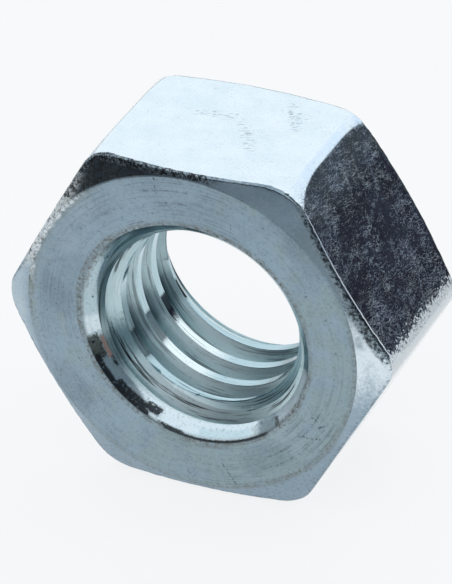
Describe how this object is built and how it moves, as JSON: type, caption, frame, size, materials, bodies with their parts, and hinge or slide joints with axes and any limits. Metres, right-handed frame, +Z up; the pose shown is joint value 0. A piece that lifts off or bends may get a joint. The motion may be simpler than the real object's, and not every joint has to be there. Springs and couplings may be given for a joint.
{
  "type": "threaded hexagon nut",
  "caption": "Bright zinc-plated steel hexagon nut with a right-hand metric thread, a countersink at each end and chamfered corners.",
  "frame": {"origin": "centre of the threaded bore, midway between the two end faces", "axes": "the bore runs along Y and the shown end face looks along -Y; +Z is up with the nut standing on one flat; opposite corners lie along X"},
  "size_m": [0.0146, 0.0066, 0.013],
  "materials": {
    "zinc_plated_steel": "bright bluish zinc plating, lightly scratched and stained"
  },
  "bodies": {
    "root": {"nut": "zinc_plated_steel"}
  },
  "joints": []
}
